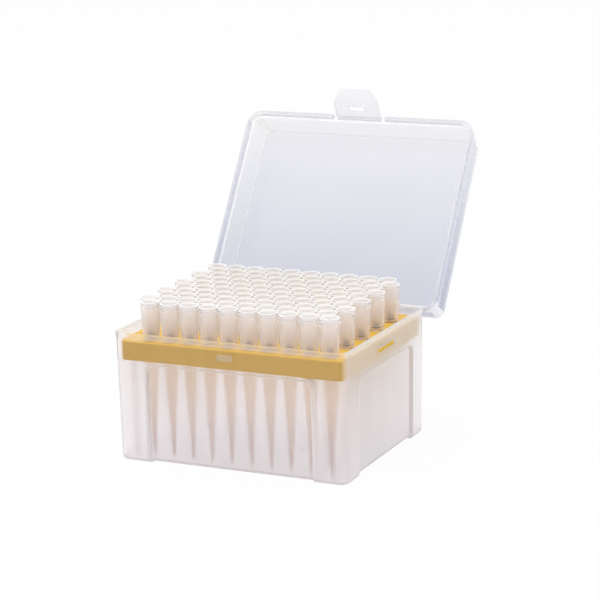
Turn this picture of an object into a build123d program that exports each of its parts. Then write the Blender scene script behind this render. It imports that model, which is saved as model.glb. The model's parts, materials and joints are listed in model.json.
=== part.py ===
"""Hinged box of pipette tips, standing with its lid open: base, rack, lid, latch and ten rows of tips.

Millimetres. The origin is the centre of the base's underside, +X runs along the rows of tips, +Y points
to the hinge and +Z is up. The lid and its latch are drawn shut and are then turned to where they rest.
"""
import os
from math import cos, radians, sin, tan

from build123d import *

# Tips
TIP_PITCH = 9.75
TIPS_PER_ROW = 10
ROWS = 10
TIP_LENGTH = 71.0
TIP_ABOVE_RACK = 17.65
TIP_RIM_RADIUS = 4.55
TIP_RIM_HEIGHT = 0.6
TIP_COLLAR_RADIUS = 4.4
TIP_COLLAR_DEPTH = 3.4
TIP_GRIP_RADIUS = 4.3
TIP_SEAT_RADIUS = 3.72
TIP_SHANK_RADIUS = 3.4
TIP_SHANK_LENGTH = 10.6
TIP_SHANK_TAPER = 0.05
TIP_POINT_RADIUS = 0.65
TIP_SOCKET_RADIUS = 3.45
TIP_SOCKET_DEPTH = 13.6
TIP_SOCKET_STEP = 0.4
TIP_SOCKET_CHAMFER = 0.3
TIP_SHANK_WALL = 0.75
TIP_POINT_WALL = 0.35
TIP_FLOOR_GAP = 0.8

# Rack
RACK_MARGIN_X = 8.2
RACK_MARGIN_Y = 6.1
RACK_CORNER = 3.0
RACK_PLATE = 1.8
RACK_SKIRT_WALL = 1.25
RACK_HEIGHT = 8.75
RACK_HOLE_GAP = 0.1
CATCH_WIDTH = 19.0
CATCH_THICKNESS = 1.8
CATCH_WEB = 0.5
CATCH_RIBS = 6
CATCH_RIB_WIDTH = 1.6
CATCH_GAP = 0.25
CATCH_DEPTH = 3.85
CATCH_SHORT = 0.2
CATCH_WEB_SHORT = 0.8

# Base
WALL = 1.3
FLOOR = 1.5
DRAFT_DEG = 0.7
RACK_GAP_X = 0.9
RACK_GAP_Y = 0.35
WALL_ABOVE_RACK = 3.85
BASE_CORNER = 4.4
RIM_BEAD = 0.4
RIM_BEAD_HEIGHT = 2.0
RIM_FILLET = 0.4
FOOT_FILLET = 1.8
PANEL_DEPTH_X = 1.9
PANEL_DEPTH_Y = 2.3
PANEL_HALF_X = 40.3
PANEL_HALF_Y = 31.3
PANEL_CORNER = 4.5
NUB_WIDTH = 6.2
NUB_HEIGHT = 2.1
NUB_ENGAGEMENT = 0.9

# Lid
LID_OPEN_DEG = 123.67
LID_GAP_X = 0.6
LID_GAP_Y = 0.65
SKIRT_WALL = 1.9
SKIRT_LAP = 2.8
LEDGE_HEIGHT = 1.2
LEDGE_GAP = 0.05
LID_WALL = 1.2
LID_TOP = 1.3
LID_TIP_GAP = 0.7
LID_STEP_X = 1.8
LID_STEP_FRONT = 1.8
LID_STEP_BACK = 2.1
LID_DRAFT_X = 0.5
LID_DRAFT_FRONT = 0.3
LID_DRAFT_BACK = 0.85
LID_CORNER = 4.0
LID_TOP_FILLET = 1.0
LID_INNER_FILLET = 0.7
SKIRT_FILLET = 0.7
SKIRT_LEAD = 0.4

# Hinge
HINGE_STATION_X = 36.0
HINGE_BEHIND_SKIRT = 0.8
HINGE_BELOW_RIM = 3.35
PIN_RADIUS = 1.0
PIN_GAP = 0.05
PIN_LENGTH = 2.3
EAR_WALL = 1.2
EAR_THICKNESS = 2.5
EAR_GUSSET = 9.0
LUG_WIDTH = 7.4
LUG_GAP = 0.3
HUB_RADIUS = 1.7
STOP_OFFSET = 2.0
STOP_GAP = 0.02
STOP_START = 1.3
LUG_FACE_START = 1.0
NOTCH_GAP = 0.4

# Latch
LATCH_OUT_DEG = 32.0
LATCH_OFFSET = -0.65
LATCH_WIDTH = 23.0
LATCH_THICKNESS = 1.5
LATCH_STRAIGHT = 8.1
FLARE_RADIUS = 15.0
FLARE_DEG = 24.0
LATCH_END_WIDTH = 14.6
LATCH_END_TAPER = 6.2
LATCH_END_FILLET = 2.0
LATCH_SIDE_FILLET = 6.0
LATCH_PIVOT_LAP = 0.8
LATCH_PIVOT_GAP = 0.05
LATCH_SIDE_GAP = 2.3
SLOT_GAP_X = 1.0
SLOT_GAP_Z = 0.45
SLOT_START = 3.1
PAD_WIDTH = 6.2
PAD_HEIGHT = 3.3
PAD_PROUD = 0.45
PAD_START = 0.35

# Levels, all from the underside of the base upwards
tipPointLevel = FLOOR + TIP_FLOOR_GAP
tipTopLevel = tipPointLevel + TIP_LENGTH
rackTopLevel = tipTopLevel - TIP_ABOVE_RACK
shelfLevel = rackTopLevel - RACK_HEIGHT
baseHeight = rackTopLevel + WALL_ABOVE_RACK
skirtLevel = baseHeight - SKIRT_LAP
ledgeLevel = baseHeight + LEDGE_GAP
lidCeiling = tipTopLevel + LID_TIP_GAP
lidTopLevel = lidCeiling + LID_TOP

# Half widths: the rack holds the tips, the base holds the rack, the lid laps over the base
rowPitch = TIP_PITCH * sin(radians(60))
rackHalfX = (TIPS_PER_ROW - 1) * TIP_PITCH / 2 + TIP_PITCH / 4 + RACK_MARGIN_X
rackHalfY = (ROWS - 1) * rowPitch / 2 + RACK_MARGIN_Y
shelfHalfX = rackHalfX + RACK_GAP_X + WALL
shelfHalfY = rackHalfY + RACK_GAP_Y + WALL
draft = tan(radians(DRAFT_DEG))
rimHalfX = shelfHalfX + (baseHeight - shelfLevel) * draft + RIM_BEAD
rimHalfY = shelfHalfY + (baseHeight - shelfLevel) * draft + RIM_BEAD
skirtHalfX = rimHalfX + LID_GAP_X + SKIRT_WALL
skirtHalfY = rimHalfY + LID_GAP_Y + SKIRT_WALL

# Hinge line, and the latch's own line on the front of the shut lid
hingeY = skirtHalfY + HINGE_BEHIND_SKIRT
hingeZ = baseHeight - HINGE_BELOW_RIM
hingeAxis = Axis((0, hingeY, hingeZ), (1, 0, 0))
latchY = -(skirtHalfY - LATCH_THICKNESS / 2)
latchZ = skirtLevel + LATCH_PIVOT_LAP
latchAxis = Axis((0, latchY, latchZ), (1, 0, 0))
slotHeight = NUB_HEIGHT + 2 * SLOT_GAP_Z
latchHalfThickness = LATCH_THICKNESS / 2
nubLevel = latchZ - SLOT_START - slotHeight / 2
catchLevel = rackTopLevel - CATCH_DEPTH


def boxBetween(low, high):
    """A block given by its lowest and highest corners."""
    size = [b - a for a, b in zip(low, high)]
    return Pos(*low) * Box(*size, align=(Align.MIN, Align.MIN, Align.MIN))


def roundedBlock(halfX, halfY, corner, low, high):
    """An upright block with rounded corners."""
    outline = Plane.XY.offset(low) * RectangleRounded(2 * halfX, 2 * halfY, corner)
    return extrude(outline, high - low)


def tub(insetX, insetY, low, high):
    """The drafted outer form of the base between two levels, drawn in by the insets."""
    sections = []
    for level in (low, high):
        lean = (level - shelfLevel) * draft
        corner = BASE_CORNER - min(insetX, insetY)
        outline = RectangleRounded(
            2 * (shelfHalfX - insetX + lean), 2 * (shelfHalfY - insetY + lean), corner
        )
        sections.append(Plane.XY.offset(level) * outline)
    return loft(sections, ruled=True)


def panelledTub(inset, low, high, footFillet=0):
    """The tub with the centre panel of each of its four sides set back."""
    top = shelfLevel - WALL + inset
    block = tub(inset, inset, low, high)
    core = tub(inset + PANEL_DEPTH_X, inset + PANEL_DEPTH_Y, low, high)
    if footFillet:
        block, core = [fillet(form.faces().sort_by(Axis.Z)[0].edges(), footFillet) for form in (block, core)]
    for halfWidth, plane, depth in (
        (PANEL_HALF_X, Plane.XZ, shelfHalfY), (PANEL_HALF_Y, Plane.YZ, shelfHalfX)
    ):
        outline = RectangleRounded(2 * (halfWidth + inset), 2 * top, PANEL_CORNER + inset)
        panel = extrude(plane * outline, 2 * depth, both=True)
        block = block - (panel - core)
    return block


def sideProfile(points, lowX, highX):
    """A shape drawn in the YZ plane and carried along X."""
    face = make_face(Polyline(*points, close=True))
    return Pos(lowX, 0, 0) * extrude(Plane.YZ * face, highX - lowX)


def rodX(radius, lowX, highX, y, z):
    """A round rod along X."""
    rod = Cylinder(radius, highX - lowX, align=(Align.CENTER, Align.CENTER, Align.MIN))
    return Pos(lowX, y, z) * Rot(0, 90, 0) * rod


def openPoint(distance, along):
    """A point of the hinge's side view, by the open lid's own directions from the hinge line."""
    turn = radians(LID_OPEN_DEG)
    y = hingeY + distance * cos(turn) + along * sin(turn)
    z = hingeZ - distance * sin(turn) + along * cos(turn)
    return y, z


def makeBracket(stationX):
    """Two ears with the pin holes, and between them the web that the open lid rests on."""
    holeRadius = PIN_RADIUS + PIN_GAP
    earRadius = holeRadius + EAR_WALL
    wallY = shelfHalfY - WALL / 2
    webHalf = LUG_WIDTH / 2 + LUG_GAP
    bottom = hingeZ - EAR_GUSSET
    stopFace = STOP_OFFSET + STOP_GAP
    faceStart = openPoint(stopFace, STOP_START)
    faceEnd = openPoint(stopFace, HINGE_BELOW_RIM + LEDGE_HEIGHT)
    bracket = sideProfile(
        [(wallY, bottom), (wallY, faceStart[1]), faceStart, faceEnd, (shelfHalfY, bottom)],
        stationX - webHalf, stationX + webHalf,
    )
    for side in (-1, 1):
        near = stationX + side * webHalf
        far = near + side * EAR_THICKNESS
        span = (min(near, far), max(near, far))
        bracket += sideProfile(
            [(wallY, bottom), (wallY, hingeZ + earRadius), (hingeY, hingeZ + earRadius),
             (hingeY, hingeZ - earRadius), (shelfHalfY, bottom)],
            *span,
        )
        bracket += rodX(earRadius, *span, hingeY, hingeZ)
        bracket -= rodX(holeRadius, *span, hingeY, hingeZ)
    return bracket


def makeBase():
    """The moulded box, with the nub for the latch, the slots for the rack and the hinge brackets."""
    base = panelledTub(0, 0, baseHeight, FOOT_FILLET)
    beadLevel = baseHeight - RIM_BEAD_HEIGHT
    bead = roundedBlock(rimHalfX, rimHalfY, BASE_CORNER + RIM_BEAD, beadLevel, baseHeight)
    base += fillet(bead.faces().sort_by(Axis.Z)[-1].edges(), RIM_FILLET)
    base -= panelledTub(WALL, FLOOR, baseHeight)
    nubFront = latchY + LATCH_THICKNESS / 2 - NUB_ENGAGEMENT
    base += boxBetween(
        (LATCH_OFFSET - NUB_WIDTH / 2, nubFront, nubLevel - NUB_HEIGHT / 2),
        (LATCH_OFFSET + NUB_WIDTH / 2, -(shelfHalfY - WALL / 2), nubLevel + NUB_HEIGHT / 2),
    )
    slotHalfY = CATCH_WIDTH / 2 + CATCH_GAP
    slotHalfZ = CATCH_THICKNESS / 2 + CATCH_GAP
    base -= boxBetween(
        (-rimHalfX, -slotHalfY, catchLevel - slotHalfZ), (rimHalfX, slotHalfY, catchLevel + slotHalfZ)
    )
    for side in (-1, 1):
        base += makeBracket(side * HINGE_STATION_X)
    return base


def tipCentres():
    """The hexagonal pattern: every other row of tips is shifted by half a pitch."""
    rows = []
    for row in range(ROWS):
        shift = TIP_PITCH / 4 if row % 2 == 0 else -TIP_PITCH / 4
        y = (row - (ROWS - 1) / 2) * rowPitch
        rows.append([((i - (TIPS_PER_ROW - 1) / 2) * TIP_PITCH + shift, y) for i in range(TIPS_PER_ROW)])
    return rows


def makeRack():
    """The plate that the tips hang in, on a skirt that stands on the shelf inside the base."""
    rack = roundedBlock(rackHalfX, rackHalfY, RACK_CORNER, shelfLevel, rackTopLevel)
    rack -= roundedBlock(
        rackHalfX - RACK_SKIRT_WALL, rackHalfY - RACK_SKIRT_WALL, RACK_CORNER - RACK_SKIRT_WALL,
        shelfLevel, rackTopLevel - RACK_PLATE,
    )
    hole = Circle(TIP_SHANK_RADIUS + RACK_HOLE_GAP)
    holes = Sketch() + [Pos(*centre) * hole for row in tipCentres() for centre in row]
    rack -= extrude(Plane.XY.offset(rackTopLevel - RACK_PLATE) * holes, RACK_PLATE)
    for side in (-1, 1):
        end = rackHalfX + RACK_GAP_X + WALL - CATCH_SHORT
        rack += catchBar(side, end - CATCH_WEB_SHORT, 0, CATCH_WIDTH, CATCH_WEB)
        for i in range(CATCH_RIBS):
            y = (i - (CATCH_RIBS - 1) / 2) * CATCH_WIDTH / CATCH_RIBS
            rack += catchBar(side, end, y, CATCH_RIB_WIDTH, CATCH_THICKNESS)
    return rack


def catchBar(side, end, y, width, thickness):
    """A bar of the rack's catch, standing out of the skirt along X."""
    root = rackHalfX - RACK_SKIRT_WALL / 2
    lowX, highX = sorted((side * root, side * end))
    return boxBetween(
        (lowX, y - width / 2, catchLevel - thickness / 2), (highX, y + width / 2, catchLevel + thickness / 2)
    )


def makeTip():
    """One hollow tip, point down, standing on its own axis at its height in the box."""
    socketFloor = tipTopLevel - TIP_SOCKET_DEPTH
    stepRadius = TIP_SOCKET_RADIUS - TIP_SOCKET_STEP
    shankEnd = rackTopLevel - TIP_SHANK_LENGTH
    shankEndRadius = TIP_SHANK_RADIUS - TIP_SHANK_TAPER
    outline = Polyline(
        (TIP_SOCKET_RADIUS, tipTopLevel - TIP_SOCKET_CHAMFER),
        (TIP_SOCKET_RADIUS + TIP_SOCKET_CHAMFER, tipTopLevel),
        (TIP_RIM_RADIUS, tipTopLevel),
        (TIP_RIM_RADIUS, tipTopLevel - TIP_RIM_HEIGHT),
        (TIP_COLLAR_RADIUS, tipTopLevel - TIP_RIM_HEIGHT),
        (TIP_COLLAR_RADIUS, tipTopLevel - TIP_COLLAR_DEPTH),
        (TIP_GRIP_RADIUS, tipTopLevel - TIP_COLLAR_DEPTH),
        (TIP_SEAT_RADIUS, rackTopLevel),
        (TIP_SHANK_RADIUS, rackTopLevel),
        (shankEndRadius, shankEnd),
        (TIP_POINT_RADIUS, tipPointLevel),
        (TIP_POINT_RADIUS - TIP_POINT_WALL, tipPointLevel),
        (shankEndRadius - TIP_SHANK_WALL, shankEnd),
        (stepRadius, socketFloor),
        (TIP_SOCKET_RADIUS, socketFloor),
        close=True,
    )
    return revolve(Plane.XZ * make_face(outline), Axis.Z)


def lidForm(inset, low, high):
    """The drafted cover above the lid's ledge between two levels, drawn in by the inset."""
    sections = []
    for level in (low, high):
        lean = (level - ledgeLevel) / (lidTopLevel - ledgeLevel)
        halfX = skirtHalfX - LID_STEP_X - LID_DRAFT_X * lean - inset
        front = -(skirtHalfY - LID_STEP_FRONT - LID_DRAFT_FRONT * lean - inset)
        back = skirtHalfY - LID_STEP_BACK - LID_DRAFT_BACK * lean - inset
        outline = RectangleRounded(2 * halfX, back - front, LID_CORNER - inset / 2)
        sections.append(Plane.XY.offset(level) * Pos(0, (front + back) / 2) * outline)
    return loft(sections, ruled=True)


def makeLid():
    """The cover, drawn shut: a lip with a lead-in round the rim, a ledge on it, and the hinge lugs."""
    ledgeTop = ledgeLevel + LEDGE_HEIGHT
    innerCorner = BASE_CORNER + RIM_BEAD + LID_GAP_X
    cover = lidForm(0, ledgeLevel, lidTopLevel)
    cover = fillet(cover.faces().sort_by(Axis.Z)[-1].edges(), LID_TOP_FILLET)
    lip = roundedBlock(skirtHalfX, skirtHalfY, innerCorner + SKIRT_WALL, skirtLevel, ledgeTop)
    cover += fillet(lip.faces().sort_by(Axis.Z)[0].edges(), SKIRT_FILLET)
    innerHalfX, innerHalfY = skirtHalfX - SKIRT_WALL, skirtHalfY - SKIRT_WALL
    cover -= roundedBlock(innerHalfX, innerHalfY, innerCorner, skirtLevel, ledgeLevel)
    mouth = RectangleRounded(
        2 * (innerHalfX + SKIRT_LEAD), 2 * (innerHalfY + SKIRT_LEAD), innerCorner + SKIRT_LEAD
    )
    cover -= extrude(Plane.XY.offset(skirtLevel) * mouth, SKIRT_LEAD, taper=45)
    hollow = lidForm(LID_WALL, ledgeLevel, lidCeiling)
    cover -= fillet(hollow.faces().sort_by(Axis.Z)[-1].edges(), LID_INNER_FILLET)

    latchLow, latchHigh = LATCH_OFFSET - LATCH_WIDTH / 2, LATCH_OFFSET + LATCH_WIDTH / 2
    outside = -skirtHalfY - SKIRT_WALL
    inside = -(skirtHalfY - SKIRT_WALL) + LID_GAP_Y / 2
    cradle = latchHalfThickness + LATCH_PIVOT_GAP
    for low, high in ((latchLow - LATCH_SIDE_GAP, latchLow), (latchHigh, latchHigh + LATCH_SIDE_GAP)):
        cover -= boxBetween((low, outside, skirtLevel), (high, inside, ledgeLevel))
    cover -= boxBetween((latchLow, outside, skirtLevel), (latchHigh, latchY, latchZ + cradle))
    cover -= boxBetween((latchLow, latchY, skirtLevel), (latchHigh, inside, latchZ))
    cover -= rodX(cradle, latchLow, latchHigh, latchY, latchZ)

    for side in (-1, 1):
        cover = cutHingeNotches(cover, side * HINGE_STATION_X) + makeLug(side * HINGE_STATION_X)
    return cover


def cutHingeNotches(cover, stationX):
    """Openings in the lip that let the base's ears through."""
    near = LUG_WIDTH / 2
    far = near + LUG_GAP + EAR_THICKNESS + NOTCH_GAP
    for low, high in ((-far, -near), (near, far)):
        cover -= boxBetween(
            (stationX + low, skirtHalfY - SKIRT_WALL - LID_GAP_Y / 2, skirtLevel),
            (stationX + high, skirtHalfY + SKIRT_WALL, ledgeLevel),
        )
    return cover


def makeLug(stationX):
    """A block behind the lip with a hub and two pin stubs; its back face is the lid's stop."""
    low, high = stationX - LUG_WIDTH / 2, stationX + LUG_WIDTH / 2
    lug = boxBetween(
        (low, skirtHalfY - SKIRT_WALL / 2, hingeZ + LUG_FACE_START),
        (high, hingeY + STOP_OFFSET, ledgeLevel + LEDGE_HEIGHT),
    )
    lug += rodX(HUB_RADIUS, low, high, hingeY, hingeZ)
    return lug + rodX(PIN_RADIUS, low - PIN_LENGTH, high + PIN_LENGTH, hingeY, hingeZ)


def makeLatch():
    """The flap, drawn hanging shut: a straight plate with the nub's slot, then a flared grip."""
    spine = Line((0, 0), (0, -LATCH_STRAIGHT))
    flare = JernArc(spine @ 1, spine % 1, FLARE_RADIUS, -FLARE_DEG)
    section = make_face(offset(Wire([spine, flare]), latchHalfThickness, side=Side.BOTH))
    half = LATCH_WIDTH / 2
    latch = extrude(Plane.YZ * section, half, both=True)
    low = latch.bounding_box().min.Z
    endHalf = LATCH_END_WIDTH / 2
    outline = make_face(Polyline(
        (-half, latchHalfThickness), (half, latchHalfThickness), (half, low + LATCH_END_TAPER),
        (endHalf, low), (-endHalf, low), (-half, low + LATCH_END_TAPER), close=True,
    ))
    outline = fillet(outline.vertices().group_by(Axis.Y)[1], LATCH_SIDE_FILLET)
    outline = fillet(outline.vertices().group_by(Axis.Y)[0], LATCH_END_FILLET)
    latch &= extrude(Plane.XZ * outline, 2 * FLARE_RADIUS, both=True)

    slotHalfX = NUB_WIDTH / 2 + SLOT_GAP_X
    latch -= boxBetween(
        (-slotHalfX, -LATCH_THICKNESS, -SLOT_START - slotHeight), (slotHalfX, LATCH_THICKNESS, -SLOT_START)
    )
    padTop = -SLOT_START - slotHeight - PAD_START
    latch += boxBetween(
        (-PAD_WIDTH / 2, 0, padTop - PAD_HEIGHT), (PAD_WIDTH / 2, latchHalfThickness + PAD_PROUD, padTop)
    )
    return Pos(LATCH_OFFSET, latchY, latchZ) * latch


lid = makeLid().rotate(hingeAxis, -LID_OPEN_DEG)
latch = makeLatch().rotate(latchAxis, -LATCH_OUT_DEG).rotate(hingeAxis, -LID_OPEN_DEG)
nodes = {"base": makeBase(), "rack": makeRack(), "lid": lid, "latch": latch}
tip = makeTip()
for number, row in enumerate(tipCentres(), start=1):
    nodes[f"tips_row_{number:02d}"] = Compound([Pos(*centre) * tip for centre in row])

os.makedirs("parts", exist_ok=True)
for name, shape in nodes.items():
    export_step(shape, f"parts/{name}.step")
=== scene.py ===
import json
from math import cos, pi, radians, sin

import bmesh
import bpy
from mathutils import Matrix, Vector


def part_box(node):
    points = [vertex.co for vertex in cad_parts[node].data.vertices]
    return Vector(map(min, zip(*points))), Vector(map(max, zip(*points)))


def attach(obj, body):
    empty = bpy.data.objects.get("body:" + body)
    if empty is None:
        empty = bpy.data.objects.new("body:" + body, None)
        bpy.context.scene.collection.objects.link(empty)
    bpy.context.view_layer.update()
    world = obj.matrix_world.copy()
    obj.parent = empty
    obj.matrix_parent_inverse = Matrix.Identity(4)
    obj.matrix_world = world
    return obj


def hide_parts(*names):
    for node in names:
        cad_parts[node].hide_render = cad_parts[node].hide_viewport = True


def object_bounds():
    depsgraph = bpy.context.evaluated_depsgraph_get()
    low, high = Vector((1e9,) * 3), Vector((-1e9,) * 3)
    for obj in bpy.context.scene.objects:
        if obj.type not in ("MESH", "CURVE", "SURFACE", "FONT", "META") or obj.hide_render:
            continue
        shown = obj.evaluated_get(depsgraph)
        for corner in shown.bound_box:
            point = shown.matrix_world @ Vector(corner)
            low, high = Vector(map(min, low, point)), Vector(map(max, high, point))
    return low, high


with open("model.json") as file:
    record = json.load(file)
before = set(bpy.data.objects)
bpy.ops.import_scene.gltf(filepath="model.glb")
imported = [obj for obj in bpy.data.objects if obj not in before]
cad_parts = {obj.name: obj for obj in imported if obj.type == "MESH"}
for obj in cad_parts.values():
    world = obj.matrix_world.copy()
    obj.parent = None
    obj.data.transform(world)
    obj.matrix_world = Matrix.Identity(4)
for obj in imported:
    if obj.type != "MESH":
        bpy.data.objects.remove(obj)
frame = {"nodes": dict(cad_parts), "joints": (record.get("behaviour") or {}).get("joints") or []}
cadLow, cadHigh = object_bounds()
scene = bpy.context.scene
mm = 0.001
white = (1, 1, 1, 1)

view = {
    "aim": (14.6 * mm, 0.0, 69.8 * mm),
    "azimuth": 25.04,     # degrees, towards the side with the rack's catch
    "elevation": 13.44,
    "roll": -1.22,
    "distance": 1.0228,
    "lens": 136.0,
    "clipStart": 0.01,
}


def makeCamera():
    azimuth, elevation = radians(view["azimuth"]), radians(view["elevation"])
    back = Vector((sin(azimuth) * cos(elevation), -cos(azimuth) * cos(elevation), sin(elevation)))
    right = Vector((0, 0, 1)).cross(back).normalized()
    up = back.cross(right)
    roll = radians(view["roll"])
    tiltedRight = cos(roll) * right + sin(roll) * up
    tiltedUp = cos(roll) * up - sin(roll) * right
    camera = bpy.data.objects.new("camera", bpy.data.cameras.new("camera"))
    camera.data.lens = view["lens"]
    camera.data.clip_start = view["clipStart"]
    place = Vector(view["aim"]) + view["distance"] * back
    turn = Matrix((tiltedRight, tiltedUp, back)).transposed()
    camera.matrix_world = Matrix.Translation(place) @ turn.to_4x4()
    scene.collection.objects.link(camera)
    scene.camera = camera


studio = {
    "floorSize": 6.0,
    "floorGap": 0.02 * mm,
    "floorColour": (0.93, 0.93, 0.935, 1),
    "floorShadow": 0.06,      # share of the lit floor left in the white
    "worldStrength": 0.86,
    "backdropGlow": 0.12,     # how much brighter the white is through plastic than straight to the camera
    "lamps": {
        "key": {"place": (-0.7, -0.9, 1.5), "size": 1.1, "power": 8.0},
        "fill": {"place": (1.6, 0.1, 0.7), "size": 0.9, "power": 3.0},
    },
    "bounces": 56,            # light crosses ten rows of tips, each with two walls
    "clearLayers": 32,        # see-through walls that a shadow or diffuse ray may cross
}


def link(tree, source, target):
    tree.links.new(source, target)


def addMath(tree, operation, *values):
    # each value is a number or the socket that gives it
    node = tree.nodes.new("ShaderNodeMath")
    node.operation = operation
    for socket, value in zip(node.inputs, values):
        if isinstance(value, bpy.types.NodeSocket):
            link(tree, value, socket)
        else:
            socket.default_value = value
    return node.outputs[0]


def mixShaders(tree, share, first, second):
    mix = tree.nodes.new("ShaderNodeMixShader")
    for socket, source in zip(mix.inputs, (share, first, second)):
        link(tree, source, socket)
    return mix.outputs[0]


def lightPath(tree, name):
    return tree.nodes.new("ShaderNodeLightPath").outputs[name]


def seenDirectly(tree):
    # 1 for rays that show the background: from the camera, in a gloss or through clear plastic
    total = lightPath(tree, "Is Camera Ray")
    for name in ("Is Glossy Ray", "Is Transmission Ray"):
        total = addMath(tree, "MAXIMUM", total, lightPath(tree, name))
    return total


def backdropStrength(tree):
    glow = studio["backdropGlow"]
    return addMath(tree, "MULTIPLY_ADD", lightPath(tree, "Is Camera Ray"), -glow, 1 + glow)


def makeWorld():
    world = bpy.data.worlds.new("studio")
    scene.world = world
    world.use_nodes = True
    tree = world.node_tree
    tree.nodes.clear()
    lit = tree.nodes.new("ShaderNodeBackground")
    lit.inputs["Color"].default_value = white
    lit.inputs["Strength"].default_value = studio["worldStrength"]
    shown = tree.nodes.new("ShaderNodeBackground")
    shown.inputs["Color"].default_value = white
    link(tree, backdropStrength(tree), shown.inputs["Strength"])
    out = tree.nodes.new("ShaderNodeOutputWorld")
    link(tree, mixShaders(tree, seenDirectly(tree), lit.outputs[0], shown.outputs[0]), out.inputs[0])


def makeFloor():
    half = studio["floorSize"] / 2
    corners = [(-half, -half, 0), (half, -half, 0), (half, half, 0), (-half, half, 0)]
    mesh = bpy.data.meshes.new("floor")
    mesh.from_pydata(corners, [], [(0, 1, 2, 3)])
    floor = bpy.data.objects.new("floor", mesh)
    scene.collection.objects.link(floor)
    floor.location.z = cadLow.z - studio["floorGap"]
    material = bpy.data.materials.new("studioFloor")
    material.use_nodes = True
    tree = material.node_tree
    tree.nodes.clear()
    paper = tree.nodes.new("ShaderNodeBsdfDiffuse")
    paper.inputs["Color"].default_value = studio["floorColour"]
    shown = tree.nodes.new("ShaderNodeEmission")
    shown.inputs["Color"].default_value = white
    link(tree, backdropStrength(tree), shown.inputs["Strength"])
    share = addMath(tree, "MULTIPLY", seenDirectly(tree), 1 - studio["floorShadow"])
    out = tree.nodes.new("ShaderNodeOutputMaterial")
    link(tree, mixShaders(tree, share, paper.outputs[0], shown.outputs[0]), out.inputs[0])
    mesh.materials.append(material)


def makeLamps():
    for name, values in studio["lamps"].items():
        lamp = bpy.data.lights.new(name, "AREA")
        lamp.size = values["size"]
        lamp.energy = values["power"]
        softbox = bpy.data.objects.new(name, lamp)
        softbox.location = values["place"]
        aim = Vector(view["aim"]) - softbox.location
        softbox.rotation_mode = "QUATERNION"
        softbox.rotation_quaternion = aim.to_track_quat("-Z", "Y")
        scene.collection.objects.link(softbox)
    scene.view_settings.view_transform = "Standard"


moulding = {
    "cloudDetail": 3.0,
    "textureDetail": 1.0,
    "noiseMiddle": 0.5,
    "bumpDistance": 0.1 * mm,
    "sheenRoughness": 0.5,
}


def startGroup(name, inputs, outputs):
    # inputs by their default values, outputs by their kinds
    group = bpy.data.node_groups.new(name, "ShaderNodeTree")
    for title, value in inputs.items():
        kind = "NodeSocketColor" if isinstance(value, tuple) else "NodeSocketFloat"
        socket = group.interface.new_socket(name=title, in_out="INPUT", socket_type=kind)
        socket.default_value = value
    for title, kind in outputs.items():
        group.interface.new_socket(name=title, in_out="OUTPUT", socket_type=kind)
    return group, group.nodes.new("NodeGroupInput"), group.nodes.new("NodeGroupOutput")


def makeMouldedSurface():
    # faint flow clouding and a fine texture, as on every moulded face
    group, given, out = startGroup(
        "mouldedSurface",
        {"Cloud Scale": 60.0, "Cloud Depth": 0.04, "Texture Scale": 2500.0},
        {"Cloud": "NodeSocketFloat", "Height": "NodeSocketFloat"})
    place = group.nodes.new("ShaderNodeTexCoord")
    noises = {}
    for title, detail in (("Cloud Scale", "cloudDetail"), ("Texture Scale", "textureDetail")):
        noise = group.nodes.new("ShaderNodeTexNoise")
        noise.inputs["Detail"].default_value = moulding[detail]
        link(group, place.outputs["Object"], noise.inputs["Vector"])
        link(group, given.outputs[title], noise.inputs["Scale"])
        noises[title] = noise.outputs["Fac"]
    centred = addMath(group, "SUBTRACT", noises["Cloud Scale"], moulding["noiseMiddle"])
    link(group, addMath(group, "MULTIPLY", centred, given.outputs["Cloud Depth"]), out.inputs["Cloud"])
    link(group, noises["Texture Scale"], out.inputs["Height"])
    return group


def makeHeightTint():
    # blends two colours up the part, in its own rest position; on the lid, rack and tips the blend is painted
    # shade and painted reflected light
    group, given, out = startGroup(
        "heightTint",
        {"Low Colour": (0.8, 0.8, 0.8, 1), "High Colour": (0.9, 0.9, 0.9, 1),
         "Low Level": 0.0, "High Level": 0.05, "Cloud": 0.0},
        {"Colour": "NodeSocketColor"})
    nodes = group.nodes
    place, split = nodes.new("ShaderNodeTexCoord"), nodes.new("ShaderNodeSeparateXYZ")
    level, mix = nodes.new("ShaderNodeMapRange"), nodes.new("ShaderNodeMix")
    bright = nodes.new("ShaderNodeHueSaturation")
    mix.data_type = "RGBA"
    link(group, place.outputs["Object"], split.inputs[0])
    link(group, split.outputs["Z"], level.inputs["Value"])
    link(group, given.outputs["Low Level"], level.inputs["From Min"])
    link(group, given.outputs["High Level"], level.inputs["From Max"])
    link(group, level.outputs["Result"], mix.inputs["Factor"])
    link(group, given.outputs["Low Colour"], mix.inputs["A"])
    link(group, given.outputs["High Colour"], mix.inputs["B"])
    link(group, addMath(group, "ADD", given.outputs["Cloud"], 1.0), bright.inputs["Value"])
    link(group, mix.outputs["Result"], bright.inputs["Color"])
    link(group, bright.outputs["Color"], out.inputs["Colour"])
    return group


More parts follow.
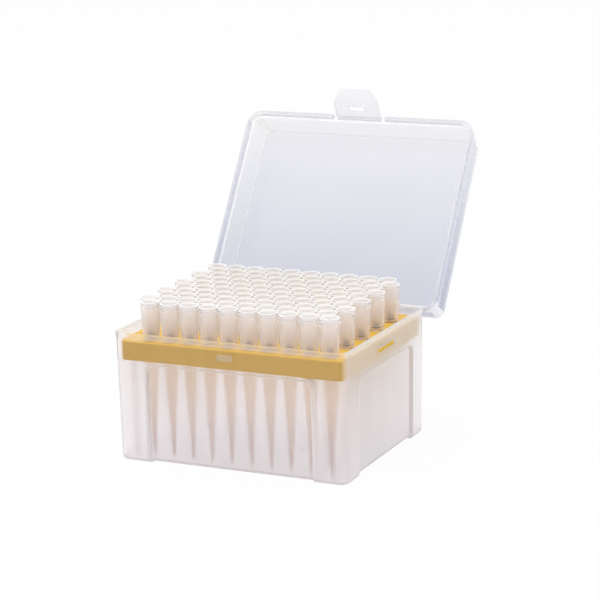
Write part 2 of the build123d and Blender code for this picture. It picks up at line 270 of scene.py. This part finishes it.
def makePlastic(name, plastic):
    # colours blend between two levels in metres above the floor; shadow is the share of
    # shadow and diffuse rays that go straight through to what is inside
    material = bpy.data.materials.new(name)
    material.use_nodes = True
    tree = material.node_tree
    shader = tree.nodes["Principled BSDF"]
    out = tree.nodes["Material Output"]
    surface = tree.nodes.new("ShaderNodeGroup")
    surface.node_tree = groups["surface"]
    surface.inputs["Cloud Scale"].default_value = plastic["cloudScale"]
    surface.inputs["Cloud Depth"].default_value = plastic["cloudDepth"]
    surface.inputs["Texture Scale"].default_value = plastic["textureScale"]
    tint = tree.nodes.new("ShaderNodeGroup")
    tint.node_tree = groups["tint"]
    tint.inputs["Low Colour"].default_value = plastic["lowColour"]
    tint.inputs["High Colour"].default_value = plastic["highColour"]
    tint.inputs["Low Level"].default_value = plastic["levels"][0]
    tint.inputs["High Level"].default_value = plastic["levels"][1]
    link(tree, surface.outputs["Cloud"], tint.inputs["Cloud"])
    bump = tree.nodes.new("ShaderNodeBump")
    bump.inputs["Strength"].default_value = plastic["bump"]
    bump.inputs["Distance"].default_value = moulding["bumpDistance"]
    link(tree, surface.outputs["Height"], bump.inputs["Height"])
    rough = addMath(tree, "ADD", surface.outputs["Cloud"], plastic["roughness"])
    link(tree, tint.outputs["Colour"], shader.inputs["Base Color"])
    link(tree, rough, shader.inputs["Roughness"])
    link(tree, bump.outputs["Normal"], shader.inputs["Normal"])
    shader.inputs["IOR"].default_value = plastic["ior"]
    shader.inputs["Transmission Weight"].default_value = plastic["transmission"]
    shader.inputs["Sheen Weight"].default_value = plastic.get("sheen", 0.0)
    shader.inputs["Sheen Roughness"].default_value = moulding["sheenRoughness"]
    if plastic["shadow"]:
        shadowRay, diffuseRay = lightPath(tree, "Is Shadow Ray"), lightPath(tree, "Is Diffuse Ray")
        share = addMath(tree, "MULTIPLY", addMath(tree, "MAXIMUM", shadowRay, diffuseRay), plastic["shadow"])
        clear = tree.nodes.new("ShaderNodeBsdfTransparent")
        link(tree, mixShaders(tree, share, shader.outputs[0], clear.outputs[0]), out.inputs["Surface"])
    return material


def makeFinishes(piece):
    # every finish of a piece has the piece's grain, unless it gives its own
    return {name: makePlastic(name, {**piece["grain"], **finish})
            for name, finish in piece["finishes"].items()}


def dressNode(node, finishes, chooseFinish):
    # each face of a moulding takes the finish of its band: plate, wall, edge or rim; some bands carry painted
    # highlights and others painted shade
    mesh = frame["nodes"][node].data
    mesh.materials.clear()
    for material in finishes.values():
        mesh.materials.append(material)
    slots = list(finishes)
    for face in mesh.polygons:
        face.material_index = slots.index(chooseFinish(face.center, face.normal))


base = {
    "rimBand": 2.05 * mm,         # from the top edge down
    "clearRimY": 43.0 * mm,       # the front and back runs of the rim lie past this
    "rimTopNormal": 0.7,          # normals are compared as cosines here and below
    "foot": 1.9 * mm,             # the turned-in edge along the bottom
    "footNormals": (-0.97, -0.1),
    "nubReach": 1.2 * mm,         # the nub, by its reach in front of the wall and its place under the rim
    "nubBelowRim": 4.0 * mm,
    "panelTop": 47.5 * mm,
    "panels": {                   # half width, and where the step into the panel lies
        "long": (43.5 * mm, 42.2 * mm, 45.4 * mm),
        "side": (34.5 * mm, 53.2 * mm, 56.2 * mm),
    },
    "stepNormal": 0.85,
    "grain": {"cloudScale": 45.0, "cloudDepth": 0.03, "textureScale": 3500.0, "bump": 0.02},
    "finishes": {
        "frostedPlastic": {
            "lowColour": (0.995, 0.967, 0.988, 1), "highColour": (0.995, 0.971, 0.966, 1),
            "levels": (0.0, 0.05), "roughness": 0.38, "transmission": 0.98, "ior": 1.33, "shadow": 1.0,
        },
        # the rim's side runs and corners: whiter and less clear than the rest, a painted highlight where the
        # rim catches light
        "rimHighlightPlastic": {
            "lowColour": (0.97, 0.965, 0.97, 1), "highColour": (0.985, 0.98, 0.98, 1),
            "levels": (0.057, 0.0595), "roughness": 0.4, "transmission": 0.65, "ior": 1.3, "shadow": 0.95,
            "cloudScale": 60.0,
        },
        # the steps into the sunk panels and the turned-in foot: darker and less clear than the wall, painted
        # shade along the steps and the bottom edge
        "panelStepShadePlastic": {
            "lowColour": (0.80, 0.74, 0.77, 1), "highColour": (0.80, 0.73, 0.69, 1),
            "levels": (0.0, 0.045), "roughness": 0.4, "transmission": 0.25, "ior": 1.25, "shadow": 1.0,
        },
        "nubPlastic": {
            "lowColour": (0.58, 0.47, 0.34, 1), "highColour": (0.64, 0.53, 0.39, 1),
            "levels": (0.051, 0.054), "roughness": 0.35, "transmission": 0.45, "ior": 1.3, "shadow": 0.9,
        },
        "clearRimPlastic": {
            "lowColour": (0.96, 0.92, 0.90, 1), "highColour": (0.97, 0.94, 0.92, 1),
            "levels": (0.057, 0.0595), "roughness": 0.30, "transmission": 0.83, "ior": 1.12, "shadow": 0.98,
            "cloudScale": 60.0,
        },
    },
}


def makeBase():
    low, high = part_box("base")

    def chooseFinish(centre, normal):
        x, y = abs(centre.x), abs(centre.y)
        if centre.z > high.z - base["rimBand"]:
            upright = y > base["clearRimY"] and abs(normal.y) > abs(normal.x)
            onTop = normal.z > base["rimTopNormal"] and y > x
            return "clearRimPlastic" if upright or onTop else "rimHighlightPlastic"
        steepest, flattest = base["footNormals"]
        if centre.z < base["foot"] and steepest < normal.z < flattest:
            return "panelStepShadePlastic"
        if centre.y < low.y + base["nubReach"] and centre.z < high.z - base["nubBelowRim"]:
            return "nubPlastic"
        if centre.z < base["panelTop"]:
            for side, along, across, facing in (("long", x, y, normal.y), ("side", y, x, normal.x)):
                half, near, far = base["panels"][side]
                if along < half and near < across < far and abs(facing) < base["stepNormal"]:
                    return "panelStepShadePlastic"
        return "frostedPlastic"

    dressNode("base", makeFinishes(base), chooseFinish)


panelEdges = {
    "radius": 0.16 * mm,
    "roundness": 1,
    "foot": 1.0 * mm,             # no round below this height
    "joinWithin": 0.001 * mm,
    "between": ("frostedPlastic", "panelStepShadePlastic"),
    "grain": base["grain"],
    "finishes": {
        # the round's finish: more opaque than the wall, a painted highlight along the panel edges
        "panelRoundHighlightPlastic": {
            "lowColour": (0.84, 0.79, 0.83, 1), "highColour": (0.84, 0.76, 0.72, 1),
            "levels": (0.0, 0.045), "roughness": 0.4, "transmission": 0.2, "ior": 1.25, "shadow": 1.0,
        },
    },
}


def traceRuns(edges):
    # joins edges end to end into runs of vertices, open runs first
    meeting = {}
    for edge in edges:
        for vertex in edge.verts:
            meeting.setdefault(vertex.index, []).append(edge)

    def crowding(vertex):
        return len(meeting[vertex.index])

    left, runs = {edge.index for edge in edges}, []
    for start in sorted(edges, key=lambda edge: min(crowding(vertex) for vertex in edge.verts)):
        if start.index not in left:
            continue
        left.discard(start.index)
        run = sorted(start.verts, key=crowding)
        while onward := next((edge for edge in meeting[run[-1].index] if edge.index in left), None):
            left.discard(onward.index)
            run.append(onward.other_vert(run[-1]))
        runs.append(run)
    return runs


def makePanelEdges():
    # a fine round along every edge of the sunk panels, in a finish that paints a highlight along each edge
    mesh = frame["nodes"]["base"].data
    slots = {mesh.materials.find(name) for name in panelEdges["between"]}
    form = bmesh.new()
    form.from_mesh(mesh)
    bmesh.ops.remove_doubles(form, verts=form.verts, dist=panelEdges["joinWithin"])
    form.verts.index_update()
    form.edges.index_update()
    curve = bpy.data.curves.new("panel_edges", "CURVE")
    curve.dimensions = "3D"
    curve.bevel_depth = panelEdges["radius"]
    curve.bevel_resolution = panelEdges["roundness"]
    curve.use_fill_caps = True
    steps = [edge for edge in form.edges if {face.material_index for face in edge.link_faces} == slots
             and min(vertex.co.z for vertex in edge.verts) > panelEdges["foot"]]
    for run in traceRuns(steps):
        closed = run[0] == run[-1]
        line = curve.splines.new("POLY")
        line.use_cyclic_u = closed
        line.points.add(len(run) - 1 - closed)
        for point, vertex in zip(line.points, run):
            point.co = (*vertex.co, 1)
    form.free()
    edges = bpy.data.objects.new("panel_edges", curve)
    for material in makeFinishes(panelEdges).values():
        curve.materials.append(material)
    scene.collection.objects.link(edges)
    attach(edges, "box")


rack = {
    "skirtBehindCatch": 1.95 * mm,     # from the catch's outer face in to the skirt
    "webBehindCatch": 0.75 * mm,       # from the catch's outer face in to the web between its ribs
    "skirtSkin": 0.5 * mm,             # how near the skirt's outside a face of its side lies
    "skirtNormal": 0.7,
    "webNormal": 0.5,
    "grain": {"cloudScale": 50.0, "cloudDepth": 0.04, "textureScale": 2500.0, "bump": 0.03},
    "finishes": {
        # the rack: bright yellow on its top face and darker below it, painted shade under the lit top
        "yellowShadedBelowTopPlastic": {
            "lowColour": (0.50, 0.29, 0.020, 1), "highColour": (0.86, 0.51, 0.04, 1),
            "levels": (0.0552, 0.0556), "roughness": 0.38, "transmission": 0.0, "ior": 1.49, "shadow": 0.0,
        },
        # the catch's ribs: a brighter yellow than the skirt beside them, painted light on the ribs
        "catchLitPlastic": {
            "lowColour": (0.72, 0.47, 0.015, 1), "highColour": (0.80, 0.54, 0.03, 1),
            "levels": (0.050, 0.054), "roughness": 0.38, "transmission": 0.0, "ior": 1.49, "shadow": 0.0,
        },
        # the web's end between the catch's ribs: dark brown, painted shade in the gaps
        "catchGapShadePlastic": {
            "lowColour": (0.30, 0.19, 0.01, 1), "highColour": (0.34, 0.22, 0.01, 1),
            "levels": (0.050, 0.054), "roughness": 0.5, "transmission": 0.0, "ior": 1.49, "shadow": 0.0,
        },
        # the skirt's outer sides: a paler, greyer yellow, painted light for the haze on the lit side
        "rackSideLitPlastic": {
            "lowColour": (0.63, 0.43, 0.19, 1), "highColour": (0.65, 0.45, 0.21, 1),
            "levels": (0.045, 0.055), "roughness": 0.38, "transmission": 0.0, "ior": 1.49, "shadow": 0.0,
        },
    },
}


def makeRack():
    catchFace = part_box("rack")[1].x
    skirt = catchFace - rack["skirtBehindCatch"]
    web = catchFace - rack["webBehindCatch"]

    def chooseFinish(centre, normal):
        x = abs(centre.x)
        if x < skirt:
            outside = x > skirt - rack["skirtSkin"] and abs(normal.x) > rack["skirtNormal"]
            return "rackSideLitPlastic" if outside else "yellowShadedBelowTopPlastic"
        return "catchGapShadePlastic" if x < web and abs(normal.y) < rack["webNormal"] else "catchLitPlastic"

    dressNode("rack", makeFinishes(rack), chooseFinish)


lid = {
    "plate": 1.5 * mm,            # the plate and its inner fillet, down from the lid's top
    "innerFillet": 2.1 * mm,
    "lipDrop": 18.6 * mm,         # from the lid's top down to the lip's lower edge
    "lip": 0.8 * mm,              # bands up from the lip's lower edge
    "ledge": (2.7 * mm, 3.1 * mm),
    "lipHeight": 4.2 * mm,
    "downNormal": -0.9,
    "cornerNormal": 0.2,          # both ways across, beyond which a face belongs to a round corner
    "grain": {"cloudScale": 30.0, "cloudDepth": 0.02, "textureScale": 1800.0, "bump": 0.0},
    "finishes": {
        # the plate: lighter high up and darker, bluer low down, painted shade
        "lidPlastic": {
            "lowColour": (0.63, 0.645, 0.73, 1), "highColour": (0.81, 0.81, 0.84, 1),
            "levels": (0.06, 0.135), "roughness": 0.14, "transmission": 0.66, "ior": 1.2, "shadow": 0.92,
            "cloudDepth": 0.03,
        },
        # the walls: the same painted shade, darker and bluer low down
        "lidWallPlastic": {
            "lowColour": (0.65, 0.665, 0.74, 1), "highColour": (0.90, 0.905, 0.925, 1),
            "levels": (0.06, 0.14), "roughness": 0.14, "transmission": 0.84, "ior": 1.2, "shadow": 0.92,
        },
        # the inner fillet, ledge, lip's inner edge and round corners: near-white and less clear, painted
        # highlights
        "lidHighlightEdgePlastic": {
            "lowColour": (0.91, 0.91, 0.945, 1), "highColour": (0.975, 0.975, 0.985, 1),
            "levels": (0.06, 0.13), "roughness": 0.25, "transmission": 0.25, "ior": 1.3, "shadow": 0.9,
        },
        # the lip's sides and the wall's lowest band: slate, painted shade lines
        "lidShadeLinePlastic": {
            "lowColour": (0.66, 0.70, 0.82, 1), "highColour": (0.80, 0.80, 0.86, 1),
            "levels": (0.06, 0.13), "roughness": 0.3, "transmission": 0.45, "ior": 1.3, "shadow": 0.9,
        },
        "lidLipPlastic": {
            "lowColour": (0.76, 0.77, 0.83, 1), "highColour": (0.83, 0.83, 0.88, 1),
            "levels": (0.06, 0.14), "roughness": 0.3, "transmission": 0.45, "ior": 1.2, "shadow": 0.95,
        },
    },
}


def makeLid():
    # bands are told apart with the lid turned shut, where its plate is level
    hinge = next(joint for joint in frame["joints"] if joint["child"] == "lid")
    pivot = Vector(hinge["pos_m"])
    shut = Matrix.Rotation(radians(hinge["range_deg"][1]), 3, Vector(hinge["axis"]))
    vertices = frame["nodes"]["lid"].data.vertices
    places = [shut @ (vertex.co - pivot) + pivot for vertex in vertices]
    top = max(place.z for place in places)
    middle = sum(place.y for place in places) / len(places)
    lipLevel = top - lid["lipDrop"]

    def chooseFinish(centre, normal):
        place, facing = shut @ (centre - pivot) + pivot, shut @ normal
        below, above = top - place.z, place.z - lipLevel
        facesDown = facing.z < lid["downNormal"]
        if below < lid["plate"]:
            return "lidPlastic"
        if below < lid["innerFillet"]:
            return "lidHighlightEdgePlastic"
        if above < lid["lip"]:
            if facesDown:
                return "lidLipPlastic"
            inward = facing.x * place.x + facing.y * (place.y - middle) < 0
            return "lidHighlightEdgePlastic" if inward and abs(facing.y) > abs(facing.x) else "lidShadeLinePlastic"
        onLedge = lid["ledge"][0] < above < lid["ledge"][1] and facesDown
        if onLedge or min(abs(facing.x), abs(facing.y)) > lid["cornerNormal"]:
            return "lidHighlightEdgePlastic"
        return "lidShadeLinePlastic" if above < lid["lipHeight"] else "lidWallPlastic"

    dressNode("lid", makeFinishes(lid), chooseFinish)


latch = {
    "broadNormal": 0.75,          # against the broadest face, beyond which a face counts as broad
    "grain": {"cloudScale": 60.0, "cloudDepth": 0.02, "textureScale": 1800.0, "bump": 0.0},
    "finishes": {
        "latchPlastic": {
            "lowColour": (0.845, 0.845, 0.88, 1), "highColour": (0.875, 0.875, 0.90, 1),
            "levels": (0.13, 0.15), "roughness": 0.2, "transmission": 0.80, "ior": 1.15, "shadow": 0.95,
        },
        # the flap's edges: darker and less clear than its faces, painted shade
        "latchShadedEdgePlastic": {
            "lowColour": (0.79, 0.79, 0.85, 1), "highColour": (0.83, 0.83, 0.88, 1),
            "levels": (0.13, 0.15), "roughness": 0.25, "transmission": 0.4, "ior": 1.2, "shadow": 0.95,
        },
    },
}


def makeLatch():
    # the flap's broad faces lean with it; whatever faces another way is an edge, and edges take painted shade
    faces = frame["nodes"]["latch"].data.polygons
    broadest = max(faces, key=lambda face: face.area).normal.copy()

    def chooseFinish(centre, normal):
        return "latchPlastic" if abs(normal.dot(broadest)) > latch["broadNormal"] else "latchShadedEdgePlastic"

    dressNode("latch", makeFinishes(latch), chooseFinish)


tips = {
    "inRow": 10,
    "sharpAngle": 38.0,                      # degrees between faces, beyond which their edge stays sharp
    "ribs": 16,
    "ribTurns": (0.0, 0.44, 0.52, 0.92),     # where a rib's foot, crest, crest's end and foot lie in its turn
    "ribHeight": 0.13,
    "shankLength": 10.6,                     # the upper shank, from the seat down to where the taper starts
    # one turn round the wall's section, down the outside and up the inside: the level that the depth
    # counts from, radius and depth in millimetres, share of the ribs, and the finish up to the next point
    "section": (
        ("mouth", 3.60, 0.35, 0, "tipHighlightRim"), ("mouth", 3.72, 0.06, 0, "tipHighlightRim"),
        ("mouth", 3.90, 0.00, 0, "tipHighlightRim"), ("mouth", 4.42, 0.00, 0, "tipHighlightRim"),
        ("mouth", 4.55, 0.12, 0, "tipHighlightRim"), ("mouth", 4.55, 0.28, 0, "tipShadeFlank"),
        ("mouth", 4.42, 0.50, 0, "tipShadeFlank"), ("mouth", 4.40, 0.62, 0, "tipShadedCollar"),
        ("mouth", 4.40, 1.20, 0, "tipWall"),
        # two grooved rings on the collar
        ("mouth", 4.40, 1.52, 0, "tipShadeFlank"), ("mouth", 4.30, 1.61, 0, "tipShadeFlank"),
        ("mouth", 4.30, 1.79, 0, "tipWall"), ("mouth", 4.40, 1.88, 0, "tipWall"),
        ("mouth", 4.40, 2.22, 0, "tipShadeFlank"), ("mouth", 4.30, 2.31, 0, "tipShadeFlank"),
        ("mouth", 4.30, 2.49, 0, "tipWall"), ("mouth", 4.40, 2.58, 0, "tipWall"),
        ("mouth", 4.40, 3.25, 0, "tipWall"), ("mouth", 4.28, 3.40, 0, "tipWall"),
        # the ribbed body and the shoulder that sits in the rack
        ("mouth", 4.14, 3.50, 0, "tipWall"), ("mouth", 4.12, 3.80, 1, "tipWall"),
        ("seat", 3.57, -0.45, 1, "tipWall"), ("seat", 3.57, -0.20, 0, "tipWall"),
        ("seat", 3.72, 0.00, 0, "tipWall"), ("seat", 3.40, 0.00, 0, "tipShank"),
        # the shank, its point and its bore
        ("taper", 3.35, 0.00, 0, "tipShank"), ("point", 0.65, 0.00, 0, "tipShank"),
        ("point", 0.30, 0.00, 0, "tipShank"), ("taper", 2.60, 0.00, 0, "tipShank"),
        ("seat", 3.05, -0.20, 0, "tipShank"), ("seat", 3.45, -0.50, 0, "tipShadedSocket"),
        # a small near-black ring on a thin web inside the body, a dark piece put where the tip shows only
        # shade
        ("mouth", 3.45, 15.9, 0, "tipShank"), ("mouth", 1.60, 15.9, 0, "tipShadeRing"),
        ("mouth", 1.60, 16.8, 0, "tipShadeRing"), ("mouth", 0.80, 16.8, 0, "tipShadeRing"),
        ("mouth", 0.80, 14.6, 0, "tipShadeRing"), ("mouth", 1.60, 14.6, 0, "tipShadeRing"),
        ("mouth", 1.60, 15.6, 0, "tipShank"), ("mouth", 3.45, 15.6, 0, "tipShadedSocket"),
        # a fine groove inside the mouth, finished as a painted shade line
        ("mouth", 3.45, 1.72, 0, "tipShadeLine"), ("mouth", 3.52, 1.60, 0, "tipShadeLine"),
        ("mouth", 3.52, 1.57, 0, "tipShadeLine"), ("mouth", 3.45, 1.45, 0, "tipMouth"),
        ("mouth", 3.45, 0.60, 0, "tipMouth"),
    ),
    "grain": {"cloudScale": 90.0, "cloudDepth": 0.02, "textureScale": 3000.0, "bump": 0.0},
    "finishes": {
        # the rims and bead: near-white and nearly opaque, painted highlights
        "tipHighlightRim": {
            "lowColour": (0.985, 0.98, 0.98, 1), "highColour": (0.99, 0.99, 0.99, 1),
            "levels": (0.070, 0.073), "roughness": 0.16, "transmission": 0.20, "ior": 1.3, "shadow": 0.98,
            "cloudDepth": 0.01,
        },
        # the body: yellower towards the rack, painted reflected light from the yellow rack
        "tipWall": {
            "lowColour": (0.86, 0.72, 0.57, 1), "highColour": (0.90, 0.83, 0.81, 1),
            "levels": (0.0555, 0.069), "roughness": 0.25, "transmission": 0.93, "ior": 1.10, "shadow": 0.99,
            "sheen": 1.0, "cloudDepth": 0.03, "bump": 0.02,
        },
        # under the bead and on the grooves' flanks: grey, painted shade
        "tipShadeFlank": {
            "lowColour": (0.72, 0.69, 0.70, 1), "highColour": (0.74, 0.73, 0.77, 1),
            "levels": (0.0555, 0.064), "roughness": 0.3, "transmission": 0.7, "ior": 1.2, "shadow": 0.985,
            "cloudDepth": 0.03, "bump": 0.02,
        },
        "tipMouth": {
            "lowColour": (0.985, 0.98, 0.985, 1), "highColour": (0.99, 0.99, 0.995, 1),
            "levels": (0.0715, 0.073), "roughness": 0.2, "transmission": 0.45, "ior": 1.18, "shadow": 0.99,
        },
        # the collar below the bead: greyer than the body, painted shade under the bead
        "tipShadedCollar": {
            "lowColour": (0.79, 0.765, 0.765, 1), "highColour": (0.80, 0.785, 0.795, 1),
            "levels": (0.070, 0.073), "roughness": 0.25, "transmission": 0.7, "ior": 1.12, "shadow": 0.99,
        },
        # inside the mouth: white at the top, darker and browner deeper down, painted shade in the bore
        "tipShadedSocket": {
            "lowColour": (0.835, 0.755, 0.70, 1), "highColour": (0.99, 0.98, 0.975, 1),
            "levels": (0.060, 0.0715), "roughness": 0.2, "transmission": 0.6, "ior": 1.18, "shadow": 0.99,
        },
        # the ring inside the body: near-black, a dark piece that stands in for shade
        "tipShadeRing": {
            "lowColour": (0.10, 0.11, 0.15, 1), "highColour": (0.14, 0.15, 0.20, 1),
            "levels": (0.057, 0.061), "roughness": 0.3, "transmission": 0.0, "ior": 1.3, "shadow": 0.9,
        },
        # the groove: brownish, a painted shade line below the rim
        "tipShadeLine": {
            "lowColour": (0.93, 0.85, 0.80, 1), "highColour": (0.93, 0.85, 0.80, 1),
            "levels": (0.070, 0.073), "roughness": 0.3, "transmission": 0.4, "ior": 1.2, "shadow": 0.98,
        },
        "tipShank": {
            "lowColour": (0.998, 0.993, 0.991, 1), "highColour": (0.996, 0.989, 0.976, 1),
            "levels": (0.02, 0.05), "roughness": 0.12, "transmission": 0.997, "ior": 1.05, "shadow": 0.995,
            "cloudDepth": 0.01,
        },
        # a darker copy of the shank for the end tips, painted shade
        "tipEndShadedShank": {
            "lowColour": (0.935, 0.90, 0.89, 1), "highColour": (0.98, 0.955, 0.925, 1),
            "levels": (0.004, 0.034), "roughness": 0.12, "transmission": 0.98, "ior": 1.06, "shadow": 0.99,
            "cloudDepth": 0.01,
        },
        # the darkest copy of the shank for the first and last rows, painted shade
        "tipNearShadedShank": {
            "lowColour": (0.84, 0.775, 0.755, 1), "highColour": (0.945, 0.885, 0.82, 1),
            "levels": (0.004, 0.034), "roughness": 0.12, "transmission": 0.97, "ior": 1.06, "shadow": 0.99,
            "cloudDepth": 0.01,
        },
    },
}


def ringPoints():
    # round a ribbed tip once: the direction of each point and how far it stands out
    ring = []
    for rib in range(tips["ribs"]):
        for part, turn in enumerate(tips["ribTurns"]):
            angle = 2 * pi * (rib + turn) / tips["ribs"]
            ring.append((cos(angle), sin(angle), tips["ribHeight"] if part > 1 else 0.0))
    return ring


def makeTipRow(name, finishes):
    low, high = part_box(name)
    rim = (high.y - low.y) / 2
    lastTip = tips["inRow"] - 1
    pitch = (high.x - low.x - 2 * rim) / lastTip
    seat = (high.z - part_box("rack")[1].z) / mm
    levels = {"mouth": 0.0, "seat": seat, "taper": seat + tips["shankLength"], "point": (high.z - low.z) / mm}
    section, ring, slots = tips["section"], ringPoints(), list(finishes)
    points, faces, slotNumbers = [], [], []
    for tip in range(tips["inRow"]):
        x, y = low.x + rim + tip * pitch, low.y + rim
        first = len(points)
        for level, radius, depth, ribShare, _ in section:
            z = high.z - (levels[level] + depth) * mm
            for across, along, raised in ring:
                reach = (radius + raised * ribShare) * mm
                points.append((x + reach * across, y + reach * along, z))
        for i, (*_, finish) in enumerate(section):
            # the end tips of each row take the darker, painted-shade shank
            if finish == "tipShank" and tip in (0, lastTip):
                finish = "tipEndShadedShank"
            above, below = first + i * len(ring), first + (i + 1) % len(section) * len(ring)
            for j in range(len(ring)):
                k = (j + 1) % len(ring)
                faces.append((above + j, below + j, below + k, above + k))
                slotNumbers.append(slots.index(finish))
    mesh = bpy.data.meshes.new(f"{name}_tips")
    mesh.from_pydata(points, [], faces)
    mesh.polygons.foreach_set("material_index", slotNumbers)
    mesh.polygons.foreach_set("use_smooth", [True] * len(faces))
    mesh.set_sharp_from_angle(angle=radians(tips["sharpAngle"]))
    for material in finishes.values():
        mesh.materials.append(material)
    row = bpy.data.objects.new(f"{name}_tips", mesh)
    scene.collection.objects.link(row)
    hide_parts(name)
    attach(row, "box")


def makeTips():
    # the first and last rows have the darkest shanks; in the others the end tips' are darker than the rest,
    # all of it painted shade
    finishes = makeFinishes(tips)
    nearShadedShank = finishes.pop("tipNearShadedShank")
    nearShadedFinishes = dict(finishes, tipShank=nearShadedShank, tipEndShadedShank=nearShadedShank)
    names = sorted(name for name in frame["nodes"] if name.startswith("tips_row"))
    for name in names:
        makeTipRow(name, nearShadedFinishes if name in (names[0], names[-1]) else finishes)


makeCamera()
makeWorld()
makeFloor()
makeLamps()
print("camera, floor and light")
groups = {"surface": makeMouldedSurface(), "tint": makeHeightTint()}
makeBase()
makePanelEdges()
makeRack()
makeLid()
makeLatch()
print("box dressed")
makeTips()
print("tips made")

scene.cycles.max_bounces = studio["bounces"]
scene.cycles.transmission_bounces = studio["bounces"]
scene.cycles.transparent_max_bounces = studio["clearLayers"]
